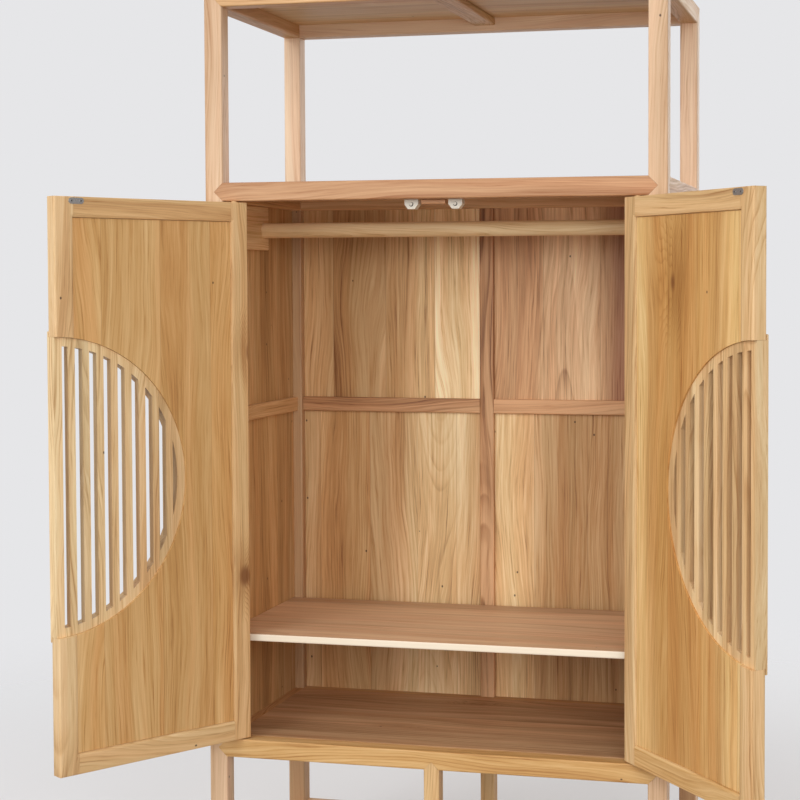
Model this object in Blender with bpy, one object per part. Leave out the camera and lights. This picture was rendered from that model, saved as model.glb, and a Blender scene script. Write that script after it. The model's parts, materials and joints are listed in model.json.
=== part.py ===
"""Chinese wardrobe in elm: a square-framed cabinet on legs with an open bay above and two pivoting
doors, each holding one half of a round slatted grille. Metres, +Z up, doors towards -Y.

The members are joined as in the real furniture: mitred three ways at the top corners, pointed
shoulders over stub tenons elsewhere, and every board held in grooves.
"""
import bmesh
import bpy
from math import acos, atan2, cos, pi, radians, sin, sqrt
from mathutils import Matrix, Vector

# Carcase: outer sizes, the stock it is made of and the heights of its frames.
WIDTH = 1.000
DEPTH = 0.520
HEIGHT = 2.000
STOCK = 0.040
LIGHT_STOCK = 0.034
LIGHT_DEPTH = 0.030
FOOT_RAIL_BASE = 0.066
BOTTOM_RAIL_BASE = 0.342
DOOR_OPENING_HEIGHT = 1.163
SIDE_RAIL_BASE = 1.060

# Joinery: the gap left between two touching pieces, and the stub tenons and pointed shoulders.
FIT = 0.0003
TENON_LENGTH = 0.018
TENON_THICKNESS = 0.0085
TENON_SETBACK = 0.0195
TENON_EDGE = 0.004
TENON_MIDDLE = 0.002
SHORT_TENON = 0.011
POINT_THICKNESS = 0.007
OVERLAP = 0.006
ARRIS = 0.003
ARRIS_STEPS = 2

# Boards: upright ones stand in grooves, level ones have a tongue all round.
BOARD_INSET = 0.008
BOARD_THICKNESS = 0.010
GROOVE_DEPTH = 0.007
LEVEL_BOARD_THICKNESS = 0.012
TOP_BOARD_THICKNESS = 0.010
TONGUE_THICKNESS = 0.004
TONGUE_DROP = 0.004
BATTEN_WIDTH = 0.050
BATTEN_THICKNESS = 0.017

# Inside: hanging rod on two cleats, one shelf, door stop and catches.
ROD_RADIUS = 0.017
ROD_DROP = 0.0553
ROD_SEAT = 0.008
CLEAT_THICKNESS = 0.014
CLEAT_BELOW_ROD = 0.0447
CLEAT_PAST_ROD = 0.028
SHELF_TOP = 0.605
SHELF_THICKNESS = 0.016
SHELF_HOUSING = 0.004
STOP_WIDTH = 0.052
STOP_HEIGHT = 0.010
STOP_DEPTH = 0.022
CATCH_CENTRE = 0.048
CATCH_WIDTH = 0.030
CATCH_HEIGHT = 0.020
CATCH_DEPTH = 0.022
CATCH_CLEARANCE = 0.0018

# Doors: frame, panel and pivots.
DOOR_THICKNESS = 0.030
DOOR_MEMBER = 0.042
DOOR_SIDE_GAP = 0.0025
DOOR_MEETING_GAP = 0.002
DOOR_LEVEL_GAP = 0.003
DOOR_TENON_LENGTH = 0.022
DOOR_TENON_EDGE = 0.008
DOOR_PANEL_FRONT = 0.004
DOOR_PANEL_BACK = 0.025
DOOR_TONGUE_THICKNESS = 0.008
OPENING_ARRIS = 0.005
OPENING_ARRIS_KNEE = 0.0015
OPENING_FRONT_CHAMFER = 0.002
PIVOT_FROM_EDGE = 0.020
PIVOT_FROM_FRONT = 0.0095
PIVOT_RADIUS = 0.007
PIVOT_LENGTH = 0.012
PIVOT_PLAY = 0.0003
PIVOT_END_GAP = 0.001
LEFT_DOOR_OPEN = 123.5
RIGHT_DOOR_OPEN = 130.0

# Half-moon grille: one half disc in each door, centred on the line where the doors meet.
MOON_RADIUS = 0.300
MOON_RIM = 0.018
MOON_FLANGE = 0.011
MOON_PROUD = 0.004
MOON_CHAMFER = 0.0015
MOON_BACK = 0.021
CHORD_BAR = 0.018
SLAT_THICKNESS = 0.015
SLIT_WIDTH = 0.0165
SLIT_PITCH = 0.032
SLIT_START = 0.0145
SLIT_LEAST = 0.006
RIM_TENON_WIDTH = 0.014
RIM_TENON_FROM_EDGE = 0.015
RIM_TENON_LENGTH = 0.009

# Facets on a full turn of the round pieces, and on one half moon.
ROUND_FACETS = 40
MOON_FACETS = 56
SLIT_END_FACETS = 4

# Worked-out levels and faces.
X, Y, Z = range(3)
LOWER, UPPER = range(2)
HALF_WIDTH = WIDTH / 2
HALF_DEPTH = DEPTH / 2
INNER_X = HALF_WIDTH - STOCK
INNER_Y = HALF_DEPTH - STOCK
FOOT_RAIL_TOP = FOOT_RAIL_BASE + LIGHT_STOCK
BOTTOM_RAIL_TOP = BOTTOM_RAIL_BASE + STOCK
MID_RAIL_BASE = BOTTOM_RAIL_TOP + DOOR_OPENING_HEIGHT
MID_RAIL_TOP = MID_RAIL_BASE + STOCK
SIDE_RAIL_TOP = SIDE_RAIL_BASE + LIGHT_STOCK
ROD_HEIGHT = MID_RAIL_BASE - ROD_DROP
BOARD_X = HALF_WIDTH - BOARD_INSET - BOARD_THICKNESS
DOOR_WIDTH = INNER_X - DOOR_SIDE_GAP - DOOR_MEETING_GAP / 2
DOOR_BASE = BOTTOM_RAIL_TOP + DOOR_LEVEL_GAP
DOOR_TOP = MID_RAIL_BASE - DOOR_LEVEL_GAP
MOON_HEIGHT = (DOOR_BASE + DOOR_TOP) / 2
DOOR_BACK_Y = -HALF_DEPTH + DOOR_THICKNESS
PIVOT_X = INNER_X - DOOR_SIDE_GAP - PIVOT_FROM_EDGE
PIVOT_Y = -HALF_DEPTH + PIVOT_FROM_FRONT

HONEY = (0.56, 0.36, 0.17)
GOLDEN = (0.60, 0.38, 0.16)
PINKISH = (0.58, 0.36, 0.22)
BROWN = (0.42, 0.25, 0.12)
WHITE = (0.85, 0.85, 0.83)
DOOR_ROUGHNESS = 0.45


# Closed shells that the pieces are made from.

def prism(outline, axis, low, high):
    """Flat outline, on the other two axes in X, Y, Z order, drawn out along one axis."""
    shell = bmesh.new()
    across = [i for i in (X, Y, Z) if i != axis]
    rings = []
    for level in (low, high):
        ring = []
        for first, second in outline:
            point = [0.0, 0.0, 0.0]
            point[across[0]] = first
            point[across[1]] = second
            point[axis] = level
            ring.append(shell.verts.new(point))
        rings.append(ring)
    count = len(outline)
    shell.faces.new(rings[0])
    shell.faces.new(rings[1])
    for i in range(count):
        j = (i + 1) % count
        shell.faces.new((rings[0][i], rings[0][j], rings[1][j], rings[1][i]))
    bmesh.ops.recalc_face_normals(shell, faces=shell.faces)
    return shell


def box(low, high, grow=0.0):
    """Block between two corners, grown on every side."""
    (x0, y0, z0), (x1, y1, z1) = low, high
    outline = [(x0 - grow, y0 - grow), (x1 + grow, y0 - grow), (x1 + grow, y1 + grow), (x0 - grow, y1 + grow)]
    return prism(outline, Z, z0 - grow, z1 + grow)


def cylinder(centre, radius, axis, low, high):
    """Round bar along one axis; centre is on the other two axes in X, Y, Z order."""
    turns = [2 * pi * i / ROUND_FACETS for i in range(ROUND_FACETS)]
    outline = [(centre[0] + radius * cos(t), centre[1] + radius * sin(t)) for t in turns]
    return prism(outline, axis, low, high)


def hull(points):
    """Smallest convex shell round some points."""
    shell = bmesh.new()
    for point in points:
        shell.verts.new(point)
    bmesh.ops.convex_hull(shell, input=shell.verts)
    bmesh.ops.dissolve_limit(shell, angle_limit=radians(1), verts=shell.verts, edges=shell.edges)
    bmesh.ops.recalc_face_normals(shell, faces=shell.faces)
    return shell


def ease(shell, run, radius=ARRIS):
    """Rounds the arrises of a shell that run along one axis."""
    arrises = []
    for edge in shell.edges:
        along = edge.verts[1].co - edge.verts[0].co
        others = max(abs(along[axis]) for axis in (X, Y, Z) if axis != run)
        if abs(along[run]) > others * ROUND_FACETS:
            arrises.append(edge)
    bmesh.ops.bevel(shell, geom=arrises, offset=radius, segments=ARRIS_STEPS, profile=0.5, affect="EDGES")
    return shell


# Pieces: a shell with others joined to it and cut from it, and its own material.

def shell_object(name, shell):
    mesh = bpy.data.meshes.new(name)
    shell.to_mesh(mesh)
    shell.free()
    item = bpy.data.objects.new(name, mesh)
    bpy.context.scene.collection.objects.link(item)
    return item


def wood(name, colour, roughness):
    material = bpy.data.materials.new(name)
    material.use_nodes = True
    surface = material.node_tree.nodes["Principled BSDF"]
    surface.inputs["Base Color"].default_value = (*colour, 1.0)
    surface.inputs["Roughness"].default_value = roughness
    surface.inputs["Metallic"].default_value = 0.0
    return material


def union(*shells):
    return [("UNION", shell) for shell in shells]


def difference(*shells):
    return [("DIFFERENCE", shell) for shell in shells]


def intersect(shell):
    return [("INTERSECT", shell)]


def make(name, body, steps=(), colour=HONEY, roughness=0.5, mirrored=False):
    """One piece of the wardrobe, with its steps of joining and cutting worked into a single mesh."""
    piece = shell_object(name, body)
    tools = []
    for operation, shell in steps:
        tool = shell_object(name + "_tool", shell)
        tools.append(tool)
        step = piece.modifiers.new(operation.title(), "BOOLEAN")
        step.operation = operation
        step.solver = "EXACT"
        step.object = tool
    if tools:
        plain_mesh = piece.data
        graph = bpy.context.evaluated_depsgraph_get()
        piece_mesh = bpy.data.meshes.new_from_object(piece.evaluated_get(graph))
        piece.modifiers.clear()
        piece.data = piece_mesh
        bpy.data.meshes.remove(plain_mesh)
        piece_mesh.name = name
    for tool in tools:
        tool_mesh = tool.data
        bpy.data.objects.remove(tool)
        bpy.data.meshes.remove(tool_mesh)
    if mirrored:
        piece.data.transform(Matrix.Scale(-1, 4, Vector((1, 0, 0))))
        piece.data.flip_normals()
    piece.data.shade_smooth()
    piece.data.set_sharp_from_angle(angle=radians(30))
    piece.data.materials.clear()
    piece.data.materials.append(wood(name, colour, roughness))
    return piece


class Stick:
    """Straight member with a pointed shoulder on its outward face and a stub tenon at both ends.

    run, cross and deep are the axes along it, across its outward face and into the wardrobe.
    Tenons that meet in a post lie in the lower half of one member and the upper half of the other.
    """

    def __init__(self, run, cross, deep, run_span, cross_span, face, outward, depth, tenon_half,
                 points=(True, True), tenons=(TENON_LENGTH, TENON_LENGTH)):
        self.axes = (run, cross, deep)
        self.run_span = (run_span[0] + FIT, run_span[1] - FIT)
        self.cross_span = cross_span
        self.face = face
        self.outward = outward
        self.depth = depth
        self.tenon_half = tenon_half
        self.points = points
        self.tenons = tenons

    def block(self, run_span, cross_span, near, far, grow=0.0):
        """Block placed on the stick's own axes, from near to far below its outward face."""
        low = [0.0, 0.0, 0.0]
        high = [0.0, 0.0, 0.0]
        deep_ends = sorted((self.face - self.outward * near, self.face - self.outward * far))
        for axis, ends in zip(self.axes, (sorted(run_span), cross_span, deep_ends)):
            low[axis], high[axis] = ends
        return box(low, high, grow)

    def body(self):
        return ease(self.block(self.run_span, self.cross_span, 0.0, self.depth), self.axes[0])

    def tenon(self, end, grow=0.0):
        side = (-1, 1)[end]
        shoulder = self.run_span[end]
        low, high = self.cross_span
        middle = (low + high) / 2
        if self.tenon_half == LOWER:
            tenon_span = (low + TENON_EDGE, middle - TENON_MIDDLE)
        else:
            tenon_span = (middle + TENON_MIDDLE, high - TENON_EDGE)
        reach = (shoulder - side * OVERLAP, shoulder + side * self.tenons[end])
        return self.block(reach, tenon_span, TENON_SETBACK, TENON_SETBACK + TENON_THICKNESS, grow)

    def point(self, end, grow=0.0):
        """Triangular shoulder; grown, it is the notch that takes it."""
        side = (-1, 1)[end]
        shoulder = self.run_span[end]
        low, high = self.cross_span
        middle = (low + high) / 2
        half = (high - low) / 2 + grow * sqrt(2)
        root = shoulder - side * OVERLAP
        root_half = half - OVERLAP
        outline = [(root, middle - root_half), (shoulder, middle - half), (shoulder + side * half, middle),
                   (shoulder, middle + half), (root, middle + root_half)]
        run, cross, deep = self.axes
        if run > cross:
            outline = [(second, first) for first, second in outline]
        proud = OVERLAP if grow else 0.0
        ends = (self.face + self.outward * proud, self.face - self.outward * (POINT_THICKNESS + grow))
        return prism(outline, deep, min(ends), max(ends))

    def joins(self):
        shells = []
        for end in (0, 1):
            shells.append(self.tenon(end))
            if self.points[end]:
                shells.append(self.point(end))
        return shells

    def sockets(self, end):
        shells = [self.tenon(end, FIT)]
        if self.points[end]:
            shells.append(self.point(end, FIT))
        return shells


def rail_stick(side, base, height, depth, tenon_half):
    """Level member between two posts on one side of the wardrobe."""
    levels = (base, base + height)
    if side in ("front", "back"):
        outward = -1 if side == "front" else 1
        return Stick(X, Z, Y, (-INNER_X, INNER_X), levels, outward * HALF_DEPTH, outward, depth, tenon_half)
    outward = -1 if side == "left" else 1
    return Stick(Y, Z, X, (-INNER_Y, INNER_Y), levels, outward * HALF_WIDTH, outward, depth, tenon_half)


def posts_of(side):
    """Posts at the low and the high end of a member on one side of the wardrobe."""
    if side in ("front", "back"):
        return ("post_" + side + "_left", "post_" + side + "_right")
    return ("post_front_" + side, "post_back_" + side)


def corner_end(run, x_side, y_side):
    """End points of a member at a top corner, cut to its share of the three-way mitre."""
    apart = FIT / sqrt(2)
    depth_axes = [axis for axis in (X, Y, Z) if axis != run]
    corners = []
    for first in (0.0, STOCK):
        for second in (0.0, STOCK):
            inward = [0.0, 0.0, 0.0]
            inward[depth_axes[0]] = first
            inward[depth_axes[1]] = second
            inward[run] = max(first, second) + apart
            x = x_side * (HALF_WIDTH - inward[X])
            y = y_side * (HALF_DEPTH - inward[Y])
            corners.append((x, y, HEIGHT - inward[Z]))
    return corners


def post_shell(x_side, y_side):
    top = corner_end(Z, x_side, y_side)
    foot = [(x, y, 0.0) for x, y, z in top]
    return ease(hull(top + foot), Z)


def top_rail_shell(side):
    if side in ("front", "back"):
        y_side = -1 if side == "front" else 1
        return ease(hull(corner_end(X, -1, y_side) + corner_end(X, 1, y_side)), X)
    x_side = -1 if side == "left" else 1
    return ease(hull(corner_end(Y, x_side, -1) + corner_end(Y, x_side, 1)), Y)


class LevelBoard:
    """Board that fills a level frame flush with its top, with a tongue into the four rails."""

    def __init__(self, top, thickness):
        self.top = top
        self.bottom = top - thickness

    def body(self):
        return box((FIT - INNER_X, FIT - INNER_Y, self.bottom), (INNER_X - FIT, INNER_Y - FIT, self.top))

    def tongue(self, axis, grow=0.0):
        """Tongue that runs out along one axis and stops short of the posts."""
        reach = [INNER_X - 2 * FIT, INNER_Y - 2 * FIT]
        reach[axis] += GROOVE_DEPTH + 2 * FIT
        high = self.top - TONGUE_DROP
        low = high - TONGUE_THICKNESS
        return box((-reach[X], -reach[Y], low), (reach[X], reach[Y], high), grow)


# Carcase.

def carcase_sticks():
    """Every jointed member with the pieces its two ends are let into."""
    members = {}
    for side in ("front", "back", "left", "right"):
        half = LOWER if side in ("front", "back") else UPPER
        ends = posts_of(side)
        members["mid_rail_" + side] = (rail_stick(side, MID_RAIL_BASE, STOCK, STOCK, half), ends)
        members["bottom_rail_" + side] = (rail_stick(side, BOTTOM_RAIL_BASE, STOCK, STOCK, half), ends)
        stick = rail_stick(side, FOOT_RAIL_BASE, LIGHT_STOCK, LIGHT_STOCK, half)
        members["foot_rail_" + side] = (stick, ends)
    for side in ("left", "right"):
        stick = rail_stick(side, SIDE_RAIL_BASE, LIGHT_STOCK, LIGHT_DEPTH, UPPER)
        members["side_rail_" + side] = (stick, posts_of(side))
    middle = (-LIGHT_STOCK / 2, LIGHT_STOCK / 2)
    for side, outward in (("front", -1), ("back", 1)):
        strut = Stick(Z, X, Y, (FOOT_RAIL_TOP, BOTTOM_RAIL_BASE), middle, outward * HALF_DEPTH, outward,
                      LIGHT_STOCK, LOWER)
        members["strut_" + side] = (strut, ("foot_rail_" + side, "bottom_rail_" + side))
    muntin = Stick(Z, X, Y, (BOTTOM_RAIL_TOP, MID_RAIL_BASE), middle, HALF_DEPTH, 1, LIGHT_DEPTH, UPPER)
    members["back_muntin"] = (muntin, ("bottom_rail_back", "mid_rail_back"))
    levels = (SIDE_RAIL_BASE, SIDE_RAIL_TOP)
    left = Stick(X, Z, Y, (-INNER_X, -LIGHT_STOCK / 2), levels, HALF_DEPTH, 1, LIGHT_DEPTH, LOWER,
                 points=(True, False), tenons=(TENON_LENGTH, SHORT_TENON))
    right = Stick(X, Z, Y, (LIGHT_STOCK / 2, INNER_X), levels, HALF_DEPTH, 1, LIGHT_DEPTH, LOWER,
                  points=(False, True), tenons=(SHORT_TENON, TENON_LENGTH))
    members["back_rail_left"] = (left, ("post_back_left", "back_muntin"))
    members["back_rail_right"] = (right, ("back_muntin", "post_back_right"))
    return members


def upright_boards():
    """Low and high corner of each board of the sides and the back, and the pieces that hold it."""
    boards = {}
    storeys = {"lower": (BOTTOM_RAIL_TOP, SIDE_RAIL_BASE), "upper": (SIDE_RAIL_TOP, MID_RAIL_BASE)}
    back_y = HALF_DEPTH - BOARD_INSET - BOARD_THICKNESS
    for storey, (low, high) in storeys.items():
        low -= GROOVE_DEPTH
        high += GROOVE_DEPTH
        frame = "bottom_rail_" if storey == "lower" else "mid_rail_"
        for side, sign in (("left", -1), ("right", 1)):
            faces = sorted((sign * BOARD_X, sign * (BOARD_X + BOARD_THICKNESS)))
            reach = INNER_Y + GROOVE_DEPTH
            holders = [*posts_of(side), "side_rail_" + side, frame + side]
            boards["side_panel_" + side + "_" + storey] = (
                (faces[0], -reach, low), (faces[1], reach, high), holders)
            ends = sorted((sign * (LIGHT_STOCK / 2 - GROOVE_DEPTH), sign * (INNER_X + GROOVE_DEPTH)))
            holders = ["post_back_" + side, "back_muntin", "back_rail_" + side, frame + "back"]
            boards["back_panel_" + side + "_" + storey] = (
                (ends[0], back_y, low), (ends[1], back_y + BOARD_THICKNESS, high), holders)
    return boards


def build_carcase():
    pieces = []
    members = carcase_sticks()
    boards = upright_boards()
    cuts = {}

    def cut(host, shell):
        cuts.setdefault(host, []).append(shell)

    for stick, hosts in members.values():
        for end, host in enumerate(hosts):
            for shell in stick.sockets(end):
                cut(host, shell)
    for low, high, holders in boards.values():
        for holder in holders:
            cut(holder, box(low, high, FIT))

    levels = {"top": LevelBoard(HEIGHT, TOP_BOARD_THICKNESS),
              "mid": LevelBoard(MID_RAIL_TOP, LEVEL_BOARD_THICKNESS),
              "bottom": LevelBoard(BOTTOM_RAIL_TOP, LEVEL_BOARD_THICKNESS)}
    for frame, board in levels.items():
        for side in ("left", "right"):
            cut(frame + "_rail_" + side, board.tongue(X, FIT))
        for side in ("front", "back"):
            cut(frame + "_rail_" + side, board.tongue(Y, FIT))

    batten_top = HEIGHT - TOP_BOARD_THICKNESS - FIT
    batten_base = batten_top - BATTEN_THICKNESS
    batten_low = (-BATTEN_WIDTH / 2, FIT - INNER_Y, batten_base)
    batten_high = (BATTEN_WIDTH / 2, INNER_Y - FIT, batten_top)
    tenon_low = (TENON_EDGE - BATTEN_WIDTH / 2, -INNER_Y - SHORT_TENON, batten_base + TENON_EDGE)
    tenon_high = (BATTEN_WIDTH / 2 - TENON_EDGE, INNER_Y + SHORT_TENON, batten_top - TENON_EDGE)
    cut("top_rail_front", box(tenon_low, tenon_high, FIT))
    cut("top_rail_back", box(tenon_low, tenon_high, FIT))

    shelf_x = BOARD_X + SHELF_HOUSING
    shelf_low = (-shelf_x, FIT - INNER_Y, SHELF_TOP - SHELF_THICKNESS)
    shelf_high = (shelf_x, INNER_Y - FIT, SHELF_TOP)
    cut("side_panel_left_lower", box(shelf_low, shelf_high, FIT))
    cut("side_panel_right_lower", box(shelf_low, shelf_high, FIT))

    rod_end = BOARD_X - FIT - CLEAT_THICKNESS + ROD_SEAT
    rod_centre = (0.0, ROD_HEIGHT)
    for side in ("left", "right"):
        cut("rod_cleat_" + side, cylinder(rod_centre, ROD_RADIUS + FIT, X, -rod_end - FIT, rod_end + FIT))

    socket_depth = PIVOT_LENGTH - DOOR_LEVEL_GAP + PIVOT_END_GAP
    for sign in (-1, 1):
        centre = (sign * PIVOT_X, PIVOT_Y)
        reach = PIVOT_RADIUS + PIVOT_PLAY
        upper_end = MID_RAIL_BASE + socket_depth
        lower_end = BOTTOM_RAIL_TOP - socket_depth
        cut("mid_rail_front", cylinder(centre, reach, Z, MID_RAIL_BASE - OVERLAP, upper_end))
        cut("bottom_rail_front", cylinder(centre, reach, Z, lower_end, BOTTOM_RAIL_TOP + OVERLAP))

    for x_name, x_side in (("left", -1), ("right", 1)):
        for y_name, y_side in (("front", -1), ("back", 1)):
            name = "post_" + y_name + "_" + x_name
            pieces.append(make(name, post_shell(x_side, y_side), difference(*cuts[name])))
    for side in ("front", "back", "left", "right"):
        name = "top_rail_" + side
        pieces.append(make(name, top_rail_shell(side), difference(*cuts[name]), PINKISH))
    for name, (stick, hosts) in members.items():
        colour = PINKISH if name.startswith("mid_rail") else HONEY
        steps = union(*stick.joins()) + difference(*cuts.get(name, ()))
        pieces.append(make(name, stick.body(), steps, colour))
    for name, (low, high, holders) in boards.items():
        pieces.append(make(name, box(low, high), difference(*cuts.get(name, ())), BROWN))
    for frame, name in (("top", "top_panel"), ("mid", "mid_panel"), ("bottom", "floor_panel")):
        board = levels[frame]
        pieces.append(make(name, board.body(), union(board.tongue(X), board.tongue(Y)), BROWN))
    batten = ease(box(batten_low, batten_high), Y)
    pieces.append(make("top_batten", batten, union(box(tenon_low, tenon_high)), BROWN))
    pieces.append(make("shelf", ease(box(shelf_low, shelf_high), X), colour=PINKISH))
    rod = cylinder(rod_centre, ROD_RADIUS, X, -rod_end, rod_end)
    pieces.append(make("hanging_rod", rod, colour=GOLDEN, roughness=0.4))

    cleat_top = MID_RAIL_BASE - FIT
    for side, sign in (("left", -1), ("right", 1)):
        faces = sorted((sign * (BOARD_X - FIT), sign * (BOARD_X - FIT - CLEAT_THICKNESS)))
        low = (faces[0], FIT - INNER_Y, ROD_HEIGHT - CLEAT_BELOW_ROD)
        high = (faces[1], CLEAT_PAST_ROD, cleat_top)
        name = "rod_cleat_" + side
        pieces.append(make(name, ease(box(low, high), Y), difference(*cuts[name]), BROWN))

    stop_front = DOOR_BACK_Y + FIT
    low = (-STOP_WIDTH / 2, stop_front, MID_RAIL_BASE - FIT - STOP_HEIGHT)
    high = (STOP_WIDTH / 2, stop_front + STOP_DEPTH, MID_RAIL_BASE - FIT)
    pieces.append(make("door_stop_block", ease(box(low, high), X)))
    catch_front = DOOR_BACK_Y + CATCH_CLEARANCE
    for side, sign in (("left", -1), ("right", 1)):
        centre = sign * CATCH_CENTRE
        half = CATCH_WIDTH / 2
        top = MID_RAIL_BASE - FIT
        shield = [(centre - half, top), (centre + half, top), (centre + half, top - CATCH_HEIGHT / 2),
                  (centre + half / 2, top - CATCH_HEIGHT), (centre - half / 2, top - CATCH_HEIGHT),
                  (centre - half, top - CATCH_HEIGHT / 2)]
        catch = prism(shield, Y, catch_front, catch_front + CATCH_DEPTH)
        pieces.append(make("catch_" + side, catch, colour=WHITE, roughness=0.35))
    return pieces


# Doors, drawn closed as the left door with the pivot at the origin: u runs from the hinge edge to
# the free edge and v from the front face inwards.

def door_box(low, high, grow=0.0):
    (u0, v0, z0), (u1, v1, z1) = low, high
    return box((u0 - PIVOT_FROM_EDGE, v0 - PIVOT_FROM_FRONT, z0),
               (u1 - PIVOT_FROM_EDGE, v1 - PIVOT_FROM_FRONT, z1), grow)


def door_prism(outline, front, back):
    """Outline in u and z, from one depth behind the front face to another."""
    moved = [(u - PIVOT_FROM_EDGE, z) for u, z in outline]
    return prism(moved, Y, front - PIVOT_FROM_FRONT, back - PIVOT_FROM_FRONT)


def door_hull(*layers):
    """Convex body through outlines in u and z, each at its own depth behind the front face."""
    points = []
    for outline, depth in layers:
        points += [(u - PIVOT_FROM_EDGE, depth - PIVOT_FROM_FRONT, z) for u, z in outline]
    return hull(points)


def half_moon(radius, chord=0.0):
    """Part of the disc that lies further than chord from the door's free edge, in u and z."""
    widest = acos(chord / radius)
    outline = []
    for i in range(MOON_FACETS + 1):
        turn = widest * (2 * i / MOON_FACETS - 1)
        outline.append((DOOR_WIDTH - radius * cos(turn), MOON_HEIGHT + radius * sin(turn)))
    return outline


def slit(near, far, radius):
    """Upright slot between two distances from the free edge, its ends following the rim."""
    inner = min(far, radius)
    outline = []
    for sign in (1, -1):
        first = atan2(sqrt(radius ** 2 - near ** 2), near)
        last = atan2(sqrt(max(radius ** 2 - inner ** 2, 0.0)), inner)
        turns = [first + (last - first) * i / SLIT_END_FACETS for i in range(SLIT_END_FACETS + 1)]
        if sign < 0:
            turns.reverse()
            if inner == radius:
                turns = turns[1:]
        outline += [(DOOR_WIDTH - radius * cos(t), MOON_HEIGHT + sign * radius * sin(t)) for t in turns]
    return outline


def moon_grille(prefix, tenons, mirrored):
    """Rim, chord bar and slats of one half of the round grille, with a flange over the door's front."""
    inner_radius = MOON_RADIUS - MOON_RIM
    outer_radius = MOON_RADIUS + MOON_FLANGE
    slat_front = MOON_BACK - SLAT_THICKNESS
    rim = door_prism(half_moon(MOON_RADIUS), -MOON_PROUD / 2, MOON_BACK)
    edge = -MOON_PROUD + MOON_CHAMFER
    flange = door_hull((half_moon(outer_radius - MOON_CHAMFER), -MOON_PROUD), (half_moon(outer_radius), edge),
                       (half_moon(outer_radius), -FIT))
    over_panel = half_moon(outer_radius, DOOR_MEMBER + FIT)
    flange_foot = door_prism(over_panel, -MOON_PROUD / 4, DOOR_PANEL_FRONT - FIT)
    pocket = door_prism(half_moon(inner_radius, CHORD_BAR), -MOON_PROUD - OVERLAP, slat_front)
    cuts = [pocket]
    slit_count = 1 + int((inner_radius - SLIT_LEAST - SLIT_START) / SLIT_PITCH)
    for i in range(slit_count):
        near = SLIT_START + i * SLIT_PITCH
        outline = slit(max(near, CHORD_BAR), near + SLIT_WIDTH, inner_radius)
        cuts.append(door_prism(outline, slat_front - OVERLAP, MOON_BACK + OVERLAP))
    cuts += [door_box(low, high, FIT) for low, high in tenons]
    steps = union(flange, flange_foot) + difference(*cuts)
    return make(prefix + "moon_grille", rim, steps, GOLDEN, DOOR_ROUGHNESS, mirrored)


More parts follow.
